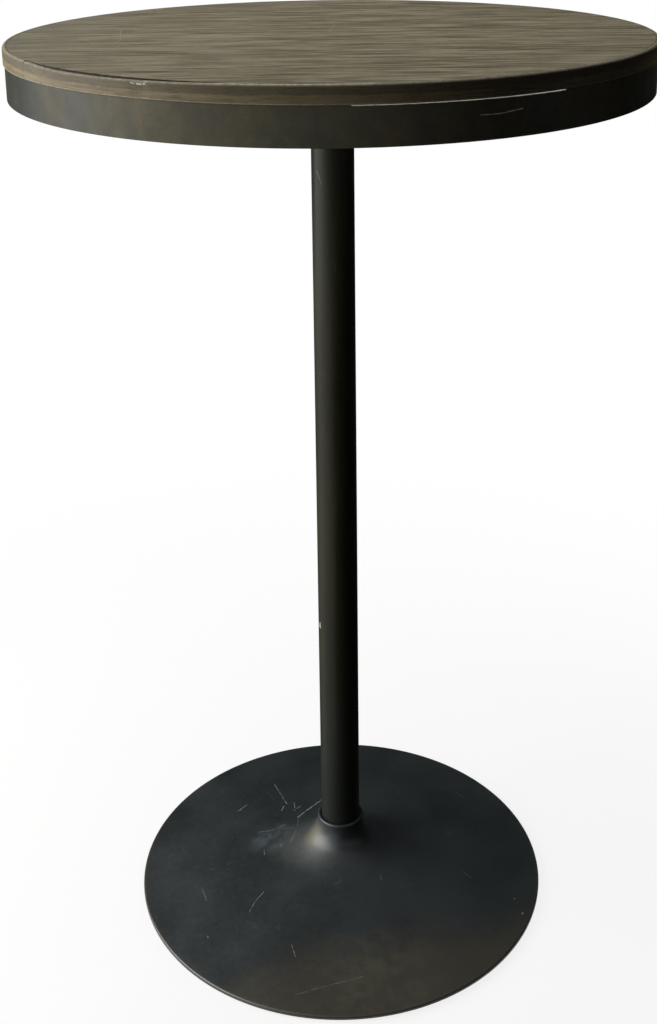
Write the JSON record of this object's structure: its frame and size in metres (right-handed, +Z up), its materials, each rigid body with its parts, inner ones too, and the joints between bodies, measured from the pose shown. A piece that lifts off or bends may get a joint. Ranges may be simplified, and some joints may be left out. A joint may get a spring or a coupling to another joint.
{
  "type": "pub table",
  "caption": "Round bar-height pedestal table: weathered wood top with steel apron, tubular column and low trumpet base on screw-in levelling glides.",
  "frame": {"origin": "on the floor, on the axis of the column", "axes": "+Z up along the column; -Y towards the viewer of the picture, +X to the viewer's right"},
  "size_m": [0.7, 0.6999, 1.08],
  "materials": {
    "veneer_wood": "weathered grey-brown veneer, matt lacquer",
    "edge_wood": "stained brown wood strip, worn at the arris",
    "core_board": "bare particle board with a balancing sheet",
    "apron_steel": "gunmetal patina, satin",
    "column_steel": "dark olive-black, satin",
    "base_steel": "dark blue-grey, satin, lightly scratched",
    "cast_iron": "black paint, as cast",
    "plain_steel": "mill finish, oiled",
    "plated_steel": "zinc plated",
    "nylon": "moulded, matt"
  },
  "bodies": {
    "table": {"top_veneer": "veneer_wood", "top_core": "core_board", "backer_sheet": "core_board", "edge_band": "edge_wood", "apron_band": "apron_steel", "apron_clips": "apron_steel", "clip_screws": "plated_steel", "spider": "cast_iron", "spider_screws": "plated_steel", "upper_tube": "column_steel", "lower_tube": "column_steel", "tube_coupling": "plain_steel", "tie_rod": "plated_steel", "rod_washer": "plated_steel", "rod_nut": "plated_steel", "base_cover": "base_steel", "neck_bush": "nylon", "base_plate": "plain_steel", "ballast_disc": "cast_iron", "column_boss": "plain_steel", "base_bolts": "plated_steel"},
    "back_right_pad": {"glide_pad_back_right": "nylon"},
    "back_right_stud": {"glide_stud_back_right": "plated_steel"},
    "back_left_pad": {"glide_pad_back_left": "nylon"},
    "back_left_stud": {"glide_stud_back_left": "plated_steel"},
    "front_left_pad": {"glide_pad_front_left": "nylon"},
    "front_left_stud": {"glide_stud_front_left": "plated_steel"},
    "front_right_pad": {"glide_pad_front_right": "nylon"},
    "front_right_stud": {"glide_stud_front_right": "plated_steel"}
  },
  "joints": [
    {"name": "back_right_travel", "type": "slide", "parent": "table", "child": "back_right_pad", "axis": [0, 0, -1], "range_m": [0, 0.004]},
    {"name": "back_right_turn", "type": "hinge", "parent": "back_right_pad", "child": "back_right_stud", "pos_m": [0.13156, 0.13156, 0.01], "axis": [0, 0, -1], "range_deg": [-30, 1182]},
    {"name": "back_left_travel", "type": "slide", "parent": "table", "child": "back_left_pad", "axis": [0, 0, -1], "range_m": [0, 0.004]},
    {"name": "back_left_turn", "type": "hinge", "parent": "back_left_pad", "child": "back_left_stud", "pos_m": [-0.13156, 0.13156, 0.01], "axis": [0, 0, -1], "range_deg": [-30, 1182]},
    {"name": "front_left_travel", "type": "slide", "parent": "table", "child": "front_left_pad", "axis": [0, 0, -1], "range_m": [0, 0.004]},
    {"name": "front_left_turn", "type": "hinge", "parent": "front_left_pad", "child": "front_left_stud", "pos_m": [-0.13156, -0.13156, 0.01], "axis": [0, 0, -1], "range_deg": [-30, 1182]},
    {"name": "front_right_travel", "type": "slide", "parent": "table", "child": "front_right_pad", "axis": [0, 0, -1], "range_m": [0, 0.004]},
    {"name": "front_right_turn", "type": "hinge", "parent": "front_right_pad", "child": "front_right_stud", "pos_m": [0.13156, -0.13156, 0.01], "axis": [0, 0, -1], "range_deg": [-30, 1182]}
  ],
  "couplings": [
    {"joint": "back_right_turn", "follows": "back_right_travel", "rad_per_m": 5026.5},
    {"joint": "back_left_turn", "follows": "back_left_travel", "rad_per_m": 5026.5},
    {"joint": "front_left_turn", "follows": "front_left_travel", "rad_per_m": 5026.5},
    {"joint": "front_right_turn", "follows": "front_right_travel", "rad_per_m": 5026.5}
  ]
}
